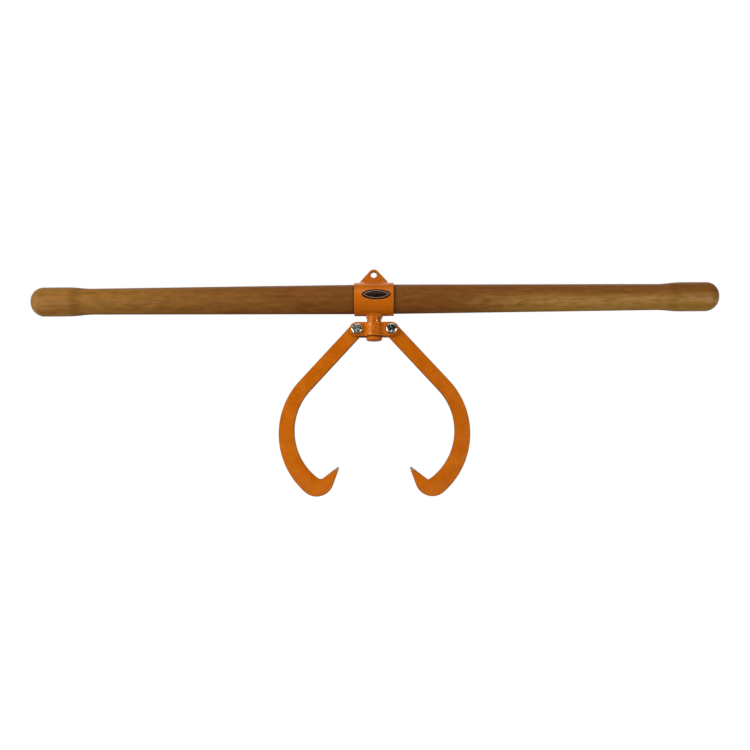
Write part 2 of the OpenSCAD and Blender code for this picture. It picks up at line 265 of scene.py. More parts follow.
def painted_sheen_band(tree, parts, mottle, right_reach):
    """How much painted sheen the band at the right end gets: full over 6 mm of height, and gone over 22 mm.
    """
    off_sheen_band = add_node(tree, "Math", {0: parts["Z"], 1: sheen_band_z}, operation="SUBTRACT")
    off_sheen_band = add_node(tree, "Math", {0: off_sheen_band}, operation="ABSOLUTE")
    on_sheen_band = add_node(tree, "MapRange", {
        "Value": off_sheen_band, "From Min": 0.003, "From Max": 0.011, "To Min": 1.0, "To Max": 0.0})
    broken = add_node(tree, "MapRange", {
        "Value": mottle, "From Min": 0.44, "From Max": 0.62, "To Max": 0.38})
    streak = add_node(tree, "Math", {0: on_sheen_band, 1: broken}, operation="MULTIPLY")
    return add_node(tree, "Math", {0: streak, 1: right_reach}, operation="MULTIPLY")


# the band of painted sheen lies at this depth below the handle's axis
print("the pale streak lies", round(axis_z - sheen_band_z * 1000, 1), "mm below the handle's axis")

# %% [markdown]
# The wood is painted darker in three places, all of it painted shade: in a ring on the slope where
# each grip ends and falls away from the light, in a narrow band of shadow against the collar's rims,
# and all round towards the outline, where the wood is seen edge on. The strongest of the three wins,
# so that they don't add up to black.


# %% Wood: painted shade
# where each grip ends and its slope, painted darker as shade, falls to the neck, in metres from the handle's
# middle
shaded_slope_at = 0.526


def painted_shade(tree, parts):
    """How much painted shade the wood gets: on each grip's falling slope, beside the collar's rims and
    towards its outline.
    """
    from_middle = add_node(tree, "Math", {0: parts["X"]}, operation="ABSOLUTE")
    from_grip = add_node(tree, "Math", {0: from_middle, 1: shaded_slope_at}, operation="SUBTRACT")
    from_grip = add_node(tree, "Math", {0: from_grip}, operation="ABSOLUTE")
    # painted shade in a ring on the slope where each grip falls away from the light
    slope_shade = add_node(tree, "MapRange", {
        "Value": from_grip, "From Max": 0.016, "To Min": 0.22, "To Max": 0.0})
    # painted shadow that the collar casts on the wood beside its rims
    collar_shadow = add_node(tree, "MapRange", {
        "Value": from_middle, "From Min": 0.0350, "From Max": 0.0385, "To Min": 0.75, "To Max": 0.0})
    dark = add_node(tree, "Math", {0: slope_shade, 1: collar_shadow}, operation="MAXIMUM")
    # painted shade that deepens towards the outline, where the wood is seen edge on
    edge_on = add_node(tree, "LayerWeight", {"Blend": 0.5})
    outline_shade = add_node(tree, "MapRange", {
        "Value": edge_on.outputs["Facing"], "From Min": 0.60, "From Max": 0.95, "To Max": 0.55})
    return add_node(tree, "Math", {0: dark, 1: outline_shade}, operation="MAXIMUM")


# the ring of painted shade lies this far from the middle
print("hands darken the wood", shaded_slope_at, "m from the middle, on both sides")


# %% Material: oiled hardwood
def oiled_wood(name):
    """A golden and a brown wood of the same grain, mixed by where the sapwood lies."""
    material, tree = new_material(name)
    place = add_node(tree, "TexCoord").outputs["Object"]
    parts = add_node(tree, "SeparateXYZ", {"Vector": place}).outputs
    grain, mottle, fibres = wood_grain(tree, place)
    golden = set_ramp(add_node(tree, "ValToRGB", {"Fac": grain}),
                      [(0.30, "#855B21"), (0.50, "#A0742F"), (0.70, "#B68746")])
    brown = set_ramp(add_node(tree, "ValToRGB", {"Fac": grain}),
                     [(0.30, "#623810"), (0.50, "#784717"), (0.70, "#8B5624")])
    right_reach = add_node(tree, "MapRange", {"Value": parts["X"], "From Min": 0.12, "From Max": 0.32})
    colour = add_node(tree, "Mix", {
        0: sapwood_share(tree, place, parts, right_reach), 6: brown.outputs["Color"],
        7: golden.outputs["Color"]}, data_type="RGBA")
    # a pale band of painted sheen, then painted shade in dark brown, are laid over the wood's colour
    for share, tone in ((painted_sheen_band(tree, parts, mottle, right_reach), "#B08A60"),
                        (painted_shade(tree, parts), "#402206")):
        colour = add_node(tree, "Mix", {0: share, 6: colour.outputs[2], 7: linear(tone)}, data_type="RGBA")
    sheen = add_node(tree, "MapRange", {
        "Value": mottle, "From Min": 0.35, "From Max": 0.65, "To Min": 0.35, "To Max": 0.55})
    bump = add_node(tree, "Bump", {"Height": fibres, "Strength": 0.25, "Distance": 0.0003})
    shader = add_node(tree, "BsdfPrincipled", {
        "Base Color": colour.outputs[2], "Roughness": sheen, "Normal": bump, "IOR": 1.45,
        "Specular IOR Level": 0.10})
    add_node(tree, "OutputMaterial", {"Surface": shader})
    return material


# warm, satin and streaky, as wood is under a thin film of oil
wood = oiled_wood("oiled_hardwood")
print("made", wood.name)

# %% [markdown]
# ## Bright zinc, vinyl and nylon
# The bolts, nuts and screws are zinc plated: a bright metal with a faint blue-green cast, a little
# uneven where the steel was cold-headed. Its bump is deep, as each small slope mirrors another part
# of the room, which gives the lively black and white of plated heads. Where the mesh is marked as
# worn, the plate is scuffed and duller, as in the face of the left bolt. The oval plate on the collar
# is glossy black vinyl with a pale printed line, and the ring in a lock nut is milky nylon.


# %% Materials: fasteners and plate
def bright_zinc(name):
    """Zinc plate, bright as it leaves the bath, and duller where the mesh is marked as worn."""
    material, tree = new_material(name)
    place = add_node(tree, "TexCoord").outputs["Object"]
    # clouds of 3 mm in the plating, and scratches of about 8 by 1 mm across it
    cloud = add_node(tree, "TexNoise", {"Vector": place, "Scale": 330.0, "Detail": 3.0})
    scratch_place = add_node(tree, "Mapping", {
        "Vector": place, "Rotation": (0.0, 0.9, 0.0), "Scale": (120.0, 400.0, 900.0)})
    scratches = add_node(tree, "TexNoise", {"Vector": scratch_place, "Scale": 1.0})
    tint = set_ramp(add_node(tree, "ValToRGB", {"Fac": cloud}), [(0.38, "#7E8882"), (0.62, "#D2D8D2")])
    rough = add_node(tree, "MapRange", {
        "Value": cloud, "From Min": 0.3, "From Max": 0.7, "To Min": 0.12, "To Max": 0.26})
    wear_and_shade = add_node(tree, "Attribute", attribute_name="wear_and_shade")
    rough = add_node(tree, "Math", {0: wear_and_shade.outputs["Fac"], 1: 0.14, 2: rough}, operation="MULTIPLY_ADD")
    height = add_node(tree, "Mix", {0: 0.45, 2: cloud, 3: scratches})
    bump = add_node(tree, "Bump", {"Height": height, "Strength": 0.65, "Distance": 0.0009})
    shader = add_node(tree, "BsdfPrincipled", {
        "Base Color": tint.outputs["Color"], "Metallic": 1.0, "Roughness": rough, "Normal": bump})
    add_node(tree, "OutputMaterial", {"Surface": shader})
    return material


def plain_plastic(name, dark, light, roughness, gloss=0.5):
    """A moulded or printed plastic whose tone varies a little over about 5 mm."""
    material, tree = new_material(name)
    place = add_node(tree, "TexCoord").outputs["Object"]
    cloud = add_node(tree, "TexNoise", {"Vector": place, "Scale": 200.0, "Detail": 3.0})
    tint = set_ramp(add_node(tree, "ValToRGB", {"Fac": cloud}), [(0.35, dark), (0.65, light)])
    bump = add_node(tree, "Bump", {"Height": cloud, "Strength": 0.1, "Distance": 0.0002})
    shader = add_node(tree, "BsdfPrincipled", {
        "Base Color": tint.outputs["Color"], "Roughness": roughness, "Normal": bump, "IOR": 1.5,
        "Specular IOR Level": gloss})
    add_node(tree, "OutputMaterial", {"Surface": shader})
    return material


# bright and cold beside the warm paint
zinc = bright_zinc("bright_zinc_on_steel")
# a deep warm black with a soft shine, and a dull pale line on it
vinyl = plain_plastic("black_vinyl", "#1C0E09", "#2A1710", 0.25, gloss=0.12)
print_line = plain_plastic("pale_printed_line", "#9A7050", "#B58D68", 0.55)
# a milky ring that tells a lock nut from a plain one
nylon = plain_plastic("milky_nylon", "#C9C4B4", "#D8D4C6", 0.4)
print("made", zinc.name, vinyl.name, print_line.name, nylon.name)

# %% [markdown]
# ## From a bmesh to a finished piece
# Each piece is drawn in a bmesh, in millimetres. Finishing it always takes the same steps: join the
# doubled vertices, turn the faces outwards, bring it to metres, shade it smooth except at real
# corners, give it its material, hang it on the body it rides on and hide the CAD nodes it stands for.
# The print compares its box with the CAD's, so a piece in the wrong place shows at once.


# %% Finishing a piece
def object_of(bm, name):
    """An object in the scene that rides on no body, from a bmesh that is freed."""
    mesh = bpy.data.meshes.new(name)
    bm.to_mesh(mesh)
    bm.free()
    made = bpy.data.objects.new(name, mesh)
    bpy.context.scene.collection.objects.link(made)
    return made


def finish_piece(bm, name, body, finish, material, *stands_for, crease=38):
    """Turns a bmesh in millimetres into a finished piece that rides on a body; crease is in degrees."""
    bmesh.ops.remove_doubles(bm, verts=bm.verts, dist=0.002)
    bmesh.ops.recalc_face_normals(bm, faces=bm.faces)
    bmesh.ops.transform(bm, matrix=Matrix.Scale(0.001, 4), verts=bm.verts)
    open_edges = sum(1 for e in bm.edges if len(e.link_faces) != 2)
    piece = object_of(bm, name)
    mesh = piece.data
    mesh.shade_smooth()
    mesh.set_sharp_from_angle(angle=math.radians(crease))
    mesh.materials.append(material)
    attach(piece, body)
    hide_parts(*stands_for)
    off = max((abs(pick(v.co[i] for v in mesh.vertices) - corner[i]) for node in stands_for
               for pick, corner in zip((min, max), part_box(node)) for i in range(3)), default=0.0)
    print(f"{name}: {len(mesh.polygons)} faces, {open_edges} open edges, box off by {off * 1000:.2f} mm")
    return piece


print("CAD nodes to dress:", len(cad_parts))

# %% [markdown]
# ## The handle
# It was turned on a lathe: a 66 mm grip at each end with a well rounded nose, a smooth swell down to a
# slimmer neck, and then a long straight taper that is thickest inside the collar. A spun profile is
# the natural way to make it, and the profile is drawn finely where it curves.


# %% A lathe
def turned(profile, axis, steps=96, closed=False):
    """A lathe: profile holds (distance along the axis, radius)."""
    bm = bmesh.new()
    out = X if abs(axis.x) < 0.5 else Z
    verts = [bm.verts.new(axis * a + out * r) for a, r in profile]
    edges = [bm.edges.new(pair) for pair in zip(verts, verts[1:])]
    if closed:
        edges.append(bm.edges.new((verts[-1], verts[0])))
    bmesh.ops.spin(bm, geom=verts + edges, cent=(0, 0, 0), axis=axis, angle=math.tau, steps=steps,
                   use_merge=True)
    bmesh.ops.remove_doubles(bm, verts=bm.verts, dist=0.0005)
    bmesh.ops.recalc_face_normals(bm, faces=bm.faces)
    return bm


def moved(bm, x=0.0, y=0.0, z=0.0):
    """Shifts a bmesh by millimetres and gives it back."""
    bmesh.ops.translate(bm, verts=bm.verts, vec=(x, y, z))
    return bm


print("a lathe of 96 steps turns", 360 / 96, "degrees at a time")


# %% Handle
half_len, grip_r, neck_r, nose_r = 610.0, 25.9, 23.15, 22.0
grip_len, neck_at = 66.0, 108.0


def swell(d):
    """Radius of the fall from grip to neck, at a distance from the handle's end."""
    share = (d - grip_len) / (neck_at - grip_len)
    return neck_r + (grip_r - neck_r) * (1 + math.cos(math.pi * share)) / 2


nose = [(p.x, p.y) for p in arc((nose_r, grip_r - nose_r), nose_r, 180, 90, 16)]
grip = [(d, grip_r) for d in (32.0, 44.0, 55.0)]
fall_at = [grip_len + (neck_at - grip_len) * i / 24 for i in range(25)]
fall = [(d, swell(d)) for d in fall_at]
taper_end = half_len - collar_len / 2
taper = [(neck_at + (taper_end - neck_at) * i / 12, neck_r + (middle_r - neck_r) * i / 12)
         for i in range(1, 13)]
half_profile = [(0.0, 0.0)] + nose + grip + fall + taper
profile = [(d - half_len, r) for d, r in half_profile]
profile += [(half_len - d, r) for d, r in reversed(half_profile)]
bm = moved(turned(profile, X, steps=128), z=axis_z)
finish_piece(bm, "turned_handle", "carrier", "oiled_wood", wood, "handle")

# %% [markdown]
# ## The collar
# A 70 mm length of steel tube, slid over the middle of the handle. Its rims were deburred before
# painting, so both are softly rounded. One closed profile spun round the handle's axis gives the bore,
# the wall and the rims together. A helper marks vertices in the attribute "wear_and_shade", here the
# outer rims, where the paint is thin.


# %% Collar
def wear_and_shade_layer(bm):
    """The value from 0 to 1 that says, for each vertex, how much worn paint and painted shade it shows."""
    return bm.verts.layers.float.get("wear_and_shade") or bm.verts.layers.float.new("wear_and_shade")


def mark_wear_and_shade(bm, is_worn):
    """Sets the value of wear and painted shade to one at each vertex that passes a test."""
    layer = wear_and_shade_layer(bm)
    bm.normal_update()
    for v in bm.verts:
        if is_worn(v):
            v[layer] = 1.0
    return bm


rim = 1.1
half = collar_len / 2
bore = middle_r + 0.04
right_rim = [(p.x, p.y) for p in arc((half - rim, collar_r - rim), rim, 90, 0, 5)]
wall = [(-a, r) for a, r in reversed(right_rim)] + right_rim
inner = [(half, bore + 0.4), (half - 0.4, bore), (0.4 - half, bore), (-half, bore + 0.4)]
body_line = [(x, collar_r) for x in (-28.0, -14.0, 0.0, 14.0, 28.0)]
profile = wall[:6] + body_line + wall[6:] + inner
bm = turned(profile, X, steps=144, closed=True)
rim_r = collar_r - 1.2
mark_wear_and_shade(bm, lambda v: abs(v.co.x) > half - 0.75 and math.hypot(v.co.y, v.co.z) > rim_r)
finish_piece(moved(bm, z=axis_z), "steel_collar", "carrier", "orange_paint", paint, "collar_tube")

# %% [markdown]
# ## The oval plate
# A glossy black oval is stuck on the front of the collar, with a thin pale line inside its edge that
# runs to a point at both ends. It is left blank. A flat disc of rings is stretched to an ellipse, and
# each vertex is then laid on the curve of the tube, so the plate hugs the collar as a sticker does.
# The line is bridged between two pointed loops. Three helpers made here serve all flat pieces: one
# draws a loop, one pulls a sheet out to its thickness, and one rounds the sharp edges.


# %% Helpers for flat pieces
def loop_of(bm, points):
    """A closed ring of edges through points."""
    verts = [bm.verts.new(p) for p in points]
    return [bm.edges.new((v, verts[(i + 1) % len(verts)])) for i, v in enumerate(verts)]


def thicken(bm, vec):
    """Pulls a flat sheet of faces out into a solid plate."""
    made = bmesh.ops.extrude_face_region(bm, geom=bm.faces[:])
    fresh = [g for g in made["geom"] if isinstance(g, bmesh.types.BMVert)]
    bmesh.ops.translate(bm, verts=fresh, vec=vec)
    return fresh


def round_edges(bm, size, segments=3, corner=40.0):
    """Rounds every edge sharper than corner, and marks the middle of each rounding: worn paint and painted
    shade.
    """
    wear_and_shade_layer(bm)
    bmesh.ops.recalc_face_normals(bm, faces=bm.faces)
    sharp = [e for e in bm.edges if len(e.link_faces) == 2 and e.calc_face_angle(0) > math.radians(corner)]
    made = bmesh.ops.bevel(bm, geom=sharp, offset=size, offset_type="OFFSET", segments=segments,
                           profile=0.5, affect="EDGES", material=-1, clamp_overlap=True)
    rounding, fresh = set(made["verts"]), set(made["faces"])
    return mark_wear_and_shade(bm, lambda v: v in rounding and fresh.issuperset(v.link_faces))


print("three helpers for flat pieces: loop, thickness, rounding")


# %% Oval plate
plate_half_x, plate_half_s, plate_t, line_t = 25.2, 9.3, 0.45, 0.12
plate_x, plate_s = 4.2, 2.6
line_outside, line_inside = (23.3, 6.9), (21.9, 6.15)
plate_gap, line_gap = 0.02, 0.44


def lay_on_collar(bm, gap):
    """Bends a flat sheet, drawn as X across and Y up the curve, round the front of the collar."""
    for v in bm.verts:
        turn = (v.co.y + plate_s) / collar_r
        r = collar_r + gap + v.co.z
        v.co = Vector((v.co.x + plate_x, -r * math.cos(turn), axis_z + r * math.sin(turn)))


def lens(half_x, half_y, steps=28):
    """A pointed oval: two arcs that meet at the left and right ends."""
    r = (half_x ** 2 + half_y ** 2) / (2 * half_y)
    end = math.degrees(math.asin(half_x / r))
    top = arc((0, half_y - r), r, 90 + end, 90 - end, steps)
    bottom = arc((0, r - half_y), r, 270 + end, 270 - end, steps)
    return [(p.x, p.y, 0.0) for p in top[:-1] + bottom[:-1]]


bm = bmesh.new()
bmesh.ops.create_circle(bm, cap_ends=True, cap_tris=True, segments=96, radius=1.0)
spokes = [e for e in bm.edges if any(v.co.length < 0.01 for v in e.verts)]
bmesh.ops.subdivide_edges(bm, edges=spokes, cuts=7)
bmesh.ops.scale(bm, verts=bm.verts, vec=(plate_half_x, plate_half_s, 1.0))
thicken(bm, (0, 0, plate_t))
round_edges(bm, 0.2, segments=2)
lay_on_collar(bm, plate_gap)
finish_piece(bm, "oval_plate", "carrier", None, vinyl)

bm = bmesh.new()
for size in (line_outside, line_inside):
    loop_of(bm, lens(*size))
bmesh.ops.bridge_loops(bm, edges=bm.edges[:])
thicken(bm, (0, 0, line_t))
lay_on_collar(bm, line_gap)
finish_piece(bm, "oval_plate_line", "carrier", None, print_line)

# %% [markdown]
# ## The hanging lug and its welds
# A flame-cut plate with a round top and straight sloping sides stands on the collar, and its eye hangs
# the tool on a hook. The ring of faces between the eye and the outline comes from bridging two loops
# of the same number of points, which gives clean faces round a hole. The same helper makes the ears
# of the straps and hooks, each with its bolt hole, further on. The two weld beads are small
# lumpy sausages in the corner between plate and tube: a spun profile whose radius ripples as the
# weld was laid, roughened by a little noise.


# %% Hanging lug
def ring_round_hole(bm, outline, hole_r, place):
    """Faces between an outline and a round hole at its middle; place puts a point in the frame."""
    turns = [math.atan2(z, x) for x, z in outline]
    hole = [(hole_r * math.cos(t), hole_r * math.sin(t)) for t in turns]
    edges = loop_of(bm, [place(p) for p in outline]) + loop_of(bm, [place(p) for p in hole])
    bmesh.ops.bridge_loops(bm, edges=edges)


eye_r, tip_round, slope, lug_t = 5.5, 9.8, 42.0, 8.0
foot_z = collar_r + axis_z - 1.0
foot_x = 25.3


def lug_reach(angle):
    """Distance from the eye's centre to the lug's outline, at -90 to 270 degrees from the X axis."""
    a = angle if angle <= 90 else 180 - angle
    if slope <= a <= 90:
        return tip_round
    reach = [tip_round / math.cos(math.radians(a - slope))] if a > slope - 90 else []
    if a < 0:
        reach.append(foot_z / math.sin(math.radians(a)))
    if abs(a) < 89:
        reach.append(foot_x / math.cos(math.radians(a)))
    return min(reach)


# angles from the middle of the foot up to the top, with two of them at the foot's corner
right_side = [-90 + i * 7.5 for i in range(8)] + [-30.7, -27.9] + [-24 + i * 6 for i in range(11)]
top_side = [slope + (180 - 2 * slope) * i / 20 for i in range(21)]
angles = right_side + top_side + [180 - a for a in reversed(right_side) if a > -90]
outline = [lug_reach(a) * along(a) for a in angles]
bm = bmesh.new()
ring_round_hole(bm, outline, eye_r, lambda p: (p[0], -lug_t / 2, p[1]))
thicken(bm, (0, lug_t, 0))
round_edges(bm, 0.8, segments=3)
# the eye's bore gets the full mark, which paints it dark brown: painted shade inside the hole; the rest of
# the lug gets a third of it, which makes the whole plate a little darker and duller
wear_and_shade = wear_and_shade_layer(bm)
for v in bm.verts:
    v[wear_and_shade] = 1.0 if math.hypot(v.co.x, v.co.z) < eye_r + 0.3 else max(v[wear_and_shade], 0.30)
finish_piece(bm, "hanging_lug_plate", "carrier", "orange_paint", paint, "hanging_lug")


# %% Weld beads of the lug
def roughen(bm, size, grain, seed):
    """Moves each vertex along its normal by smooth noise of a given grain."""
    bm.normal_update()
    for v in bm.verts:
        v.co += v.normal * size * noise.noise(v.co / grain + Vector((seed, 0, 0)))


def lug_bead(side):
    """A rippled bead in the corner between lug and collar, in front (-1) or behind (1)."""
    half_bead, r, pitch = 20.5, 3.0, 3.1
    profile = [(-half_bead - r, 0.0)]
    for i in range(61):
        a = -half_bead + 2 * half_bead * i / 60
        ripple = 0.22 * abs(math.sin(math.pi * a / pitch))
        close = min(1.0, (half_bead + r * 0.9 - abs(a)) / r)
        profile.append((a, (r - 0.2 + ripple) * math.sqrt(max(0.0, 1 - (1 - close) ** 2))))
    profile.append((half_bead + r, 0.0))
    bm = turned(profile, X, steps=24)
    roughen(bm, 0.45, 3.0, side * 7.0)
    corner = math.sqrt(collar_r ** 2 - (lug_t / 2) ** 2)
    return moved(bm, y=side * (lug_t / 2 + 0.2), z=axis_z + corner + 0.2)


for side, node in ((-1, "lug_weld_front"), (1, "lug_weld_back")):
    finish_piece(lug_bead(side), node.replace("lug_weld", "lug_bead"), "carrier", "orange_paint", weld_paint,
                 node, crease=60)

# %% [markdown]
# ## The boss and the swivel pin
# A short round boss is welded under the collar, and the headed pin runs down through it and through
# the yoke, which turns on it. The boss and the pin are lathe work. The weld between boss and collar
# follows the saddle curve where two tubes meet: a ring of small circles is spun round the boss, then
# each vertex drops to the collar's surface, and noise makes it lumpy, as a hand-laid bead is.

# %% Boss, weld and pin
boss_end = -86.1
bm = turned([(-70.5, 0.0), (-70.5, boss_r), (boss_end + 0.8, boss_r), (boss_end + 0.25, boss_r - 0.2),
             (boss_end, boss_r - 0.8), (boss_end, 0.0)], Z, steps=96)
finish_piece(bm, "swivel_boss_turned", "carrier", "orange_paint", paint, "swivel_boss")

# the bead's section: radius from the boss's axis, and height from the collar's underside, up into it
bead = [(11.6, 2.6), (14.6, 2.3), (15.3, 1.4), (15.4, 0.2), (15.1, -1.0), (14.8, -2.2), (14.4, -3.4),
        (14.0, -4.6), (13.5, -5.7), (12.9, -6.6), (11.6, -6.4)]
bm = turned([(z, r) for r, z in bead], Z, steps=144, closed=True)
# the bead's middle line, from which its drop to the collar is reckoned
track = boss_r + 2.4
for v in bm.verts:
    across = v.co.y * track / math.hypot(v.co.x, v.co.y)
    v.co.z += axis_z - math.sqrt(collar_r ** 2 - across ** 2) - 0.4
    # a hand-laid bead isn't even: this one is thinner on the left, in front and behind
    v.co.x, v.co.y = v.co.x * (0.92 if v.co.x < 0 else 1.0), v.co.y * 0.91
roughen(bm, 1.3, 2.2, 3.0)
roughen(bm, 1.6, 4.0, 8.0)
finish_piece(bm, "boss_weld_bead", "carrier", "orange_paint", weld_paint, "boss_weld", crease=60)

pin_r, pin_top, head_r, head_top, head_low = 9.0, -80.0, 14.0, -112.1, -119.0
# the pin from its hidden top down: height and radius
pin = [(pin_top, 0.0), (pin_top, pin_r), (head_top, pin_r), (head_top, head_r - 1.8),
       (head_top - 0.4, head_r - 0.9), (head_top - 0.9, head_r - 0.25), (head_top - 1.4, head_r)]
pin += [(p.y, p.x) for p in arc((head_r - 2.0, head_low + 2.7), 2.0, 0, -80, 8)]
pin += [(head_low + 0.4, 9.2), (head_low + 0.18, 7.0), (head_low + 0.05, 3.5), (head_low, 0.0)]
bm = turned(pin, Z, steps=96)
# the top of the head is marked, which paints it dark brown: painted shade in the gap under the yoke
mark_wear_and_shade(bm, lambda v: v.co.z > head_top - 0.6)
finish_piece(bm, "swivel_pin_turned", "carrier", "orange_paint", pin_paint, "swivel_pin")

# %% [markdown]
# ## The yoke's straps
# Two flat bars are pressed round a bush, so that each has a half-round swell in its middle and flat
# ears that take the hook bolts. Each is drawn as a flat sheet: a grid for the middle, and on either
# side an ear whose round outline is bridged to its bolt hole. The sheet is doubled, both layers are
# pushed to the curve of the bar, and the edges are rounded.

# %% Yoke straps
swell_r, bend_r = 17.5, 2.5
bend_y = strap_face + bend_r
bend_x = math.sqrt((swell_r + bend_r) ** 2 - bend_y ** 2)
swell_x = swell_r * bend_x / (swell_r + bend_r)


def outer_face(x):
    """Depth of a strap's outer face: flat ear, bend, and the half-round swell."""
    x = abs(x)
    if x >= bend_x:
        return strap_face
    if x > swell_x:
        return bend_y - math.sqrt(bend_r ** 2 - (x - bend_x) ** 2)
    return math.sqrt(swell_r ** 2 - x ** 2)


def inner_face(x):
    """Depth of a strap's inner face: the slot for the hooks, and the round bed for the bush."""
    return math.sqrt(max(slot_half ** 2, boss_r ** 2 - x ** 2))


def ear_outline(half_h, columns, rows):
    """Outline of an ear about its hole: a half circle, and a square side towards the middle."""
    points = [tuple(p) for p in arc((0, 0), half_h, -90, 90, columns * 4)][:-1]
    points += [(-half_h * i / columns, half_h) for i in range(columns)]
    points += [(-half_h, half_h - 2 * half_h * i / rows) for i in range(rows)]
    points += [(-half_h + half_h * i / columns, -half_h) for i in range(columns)]
    return points


def strap(front):
    """One formed bar with two ears, in front of the bush or behind it."""
    half_h = strap_h / 2
    inside = pivot_x - half_h
    bm = bmesh.new()
    bmesh.ops.create_grid(bm, x_segments=60, y_segments=12, size=0.5,
                          matrix=Matrix.Diagonal((2 * inside, strap_h, 1.0, 1.0)))
    for side in (-1, 1):
        ring_round_hole(bm, ear_outline(half_h, 6, 12), snug_hole_r,
                        lambda p: (side * (pivot_x + p[0]), p[1], 0.0))
    bmesh.ops.remove_doubles(bm, verts=bm.verts, dist=0.01)
    fresh = set(thicken(bm, (0, 0, 1.0)))
    for v in bm.verts:
        depth = outer_face(v.co.x) if v in fresh else inner_face(v.co.x)
        v.co = Vector((v.co.x, -depth if front else depth, v.co.y + pivot_z))
    round_edges(bm, 0.9, segments=3, corner=55)
    # the undersides are marked, which paints them dull brown: painted shade under the bar
    return mark_wear_and_shade(bm, lambda v: all(f.normal.z < -0.3 for f in v.link_faces))


for node, front in (("front_strap", True), ("back_strap", False)):
    finish_piece(strap(front), node + "_formed", "yoke", "orange_paint", strap_paint, node)

# %% [markdown]
# ## The hooks
# Each hook is flame-cut from 9.5 mm plate. Its outline is a run of arcs that pass into each other
# without a corner: a round heel about the bolt, a straight arm, a wide bend, a small toe, a straight
# flank up to the tip, a notch behind the barb, and the throat's long inner arc. The outline is filled
# as one face, with a ring of faces about the bolt hole, and pulled out to the plate's thickness.
# Flame cutting and grinding leave the edges slightly round. The tips are bare, where the barb bites.

# %% Hook outline
arm_w, arm_len, bend_out, bend_angle = 25.4, 135.0, 135.0, 92.0
throat_r, toe_r, barb_tilt, tip_r = 103.0, 29.7, 10.0, 1.8
tip = Vector((195.0, -139.5))
hook_t = 9.5
notch_of = {"left_hook": 9.0, "right_hook": 3.5}
rest_angle_of = {"left_hook": 42.7, "right_hook": 42.2}
bend_centre = Vector((arm_len, arm_w / 2 - bend_out))
throat_centre = Vector((arm_len, -arm_w / 2 - throat_r))
toe_centre = bend_centre + (bend_out - toe_r) * along(90 - bend_angle)
to_toe = toe_centre - tip
flank_angle = math.degrees(math.atan2(to_toe.y, to_toe.x) - math.asin(toe_r / to_toe.length))
half_wedge = (barb_tilt - flank_angle) / 2
tip_centre = tip + tip_r / math.sin(math.radians(half_wedge)) * along(flank_angle + half_wedge)
ear_end = arm_w / 2


def hook_line(notch_r):
    """The outline from the ear round the bend, toe, tip, notch and throat, back to the ear."""
    barb_edge, lift = along(barb_tilt), notch_r * along(barb_tilt + 90)
    start = tip + lift - throat_centre
    b = -start.dot(barb_edge)
    run = b + math.sqrt(b * b - start.dot(start) + (throat_r - notch_r) ** 2)
    notch_centre = tip + lift + run * barb_edge
    from_throat = notch_centre - throat_centre
    notch_end = math.degrees(math.atan2(from_throat.y, from_throat.x))
    return ([Vector((ear_end + (arm_len - ear_end) * i / 10, arm_w / 2)) for i in range(10)]
            + arc(bend_centre, bend_out, 90, 90 - bend_angle, 60)[:-1]
            + arc(toe_centre, toe_r, 90 - bend_angle, flank_angle - 90, 28)
            + arc(tip_centre, tip_r, flank_angle - 90, barb_tilt - 270, 10)
            + arc(notch_centre, notch_r, barb_tilt - 90, notch_end, 12)
            + arc(throat_centre, throat_r, notch_end, 90, 60)[1:]
            + [Vector((arm_len + (ear_end - arm_len) * i / 10, -arm_w / 2)) for i in range(1, 11)])


print("the flank runs at", round(flank_angle, 1), "degrees to the arm")


# %% Hooks
def at_rest(side, body, p):
    """A point of a hook's drawing, turned to its rest angle, in the shared frame."""
    turn = math.radians(rest_angle_of[body] - 90)
    spin = Matrix(((math.cos(turn), -math.sin(turn)), (math.sin(turn), math.cos(turn))))
    q = spin @ Vector(p)
    return Vector((side * (pivot_x + q.x), -hook_t / 2, pivot_z + q.y))


def hook(side, body):
    """One hook at its rest angle, on the left (-1) or the right (1)."""
    bm = bmesh.new()
    heel = [(-x, z) for x, z in ear_outline(arm_w / 2, 6, 12)]
    ring_round_hole(bm, heel, hook_hole_r, lambda p: at_rest(side, body, p))
    ear_side = [Vector((ear_end, -arm_w / 2 + arm_w * i / 12)) for i in range(1, 12)]
    bm.faces.new([bm.verts.new(at_rest(side, body, p)) for p in hook_line(notch_of[body]) + ear_side])
    bmesh.ops.remove_doubles(bm, verts=bm.verts, dist=0.01)
    thicken(bm, (0, hook_t, 0))
    round_edges(bm, 1.2, segments=4, corner=60)
    # the side faces are marked, which paints them dull brown: painted shade along the cut edges
    return mark_wear_and_shade(bm, lambda v: all(abs(f.normal.y) < 0.9 for f in v.link_faces))


for side, body in ((-1, "left_hook"), (1, "right_hook")):
    bare_tip = at_rest(side, body, tip_centre) / 1000
    # glossy on the flat plate, brown and dull along the edges and side faces, as worn paint and painted
    # shade, and bare grey at the barb's tip
    hook_paint = enamel("orange_enamel_" + body, bare_tip, wave_height=0.0006)
    finish_piece(hook(side, body), body + "_flame_cut", body, "orange_paint", hook_paint, body)

# %% [markdown]
# ## Bolts, washers and nuts
# Hexagon bolts pass from front to back through the straps and hooks. Real heads are cold-headed and
# their outer face is turned to a 24 degree chamfer, which cuts a small arc on each flat. To get it, a
# round blank is spun and each vertex of its side is moved out to the hexagon, then lowered by how far
# it stands beyond the chamfer's circle. The thread that shows behind each lock nut is a real helix.
# The face of a head is dished, and the left one is scuffed there.

# %% Hexagons
head_top_r, nut_top_r = flats / 2 * 0.82, flats / 2 * 0.95
chamfer = math.radians(24)


def hex_reach(angle):
    """Distance from the centre to a hexagon's side, with corners at 0, 60, 120 degrees."""
    return flats / 2 / math.cos(math.radians(angle % 60 - 30))


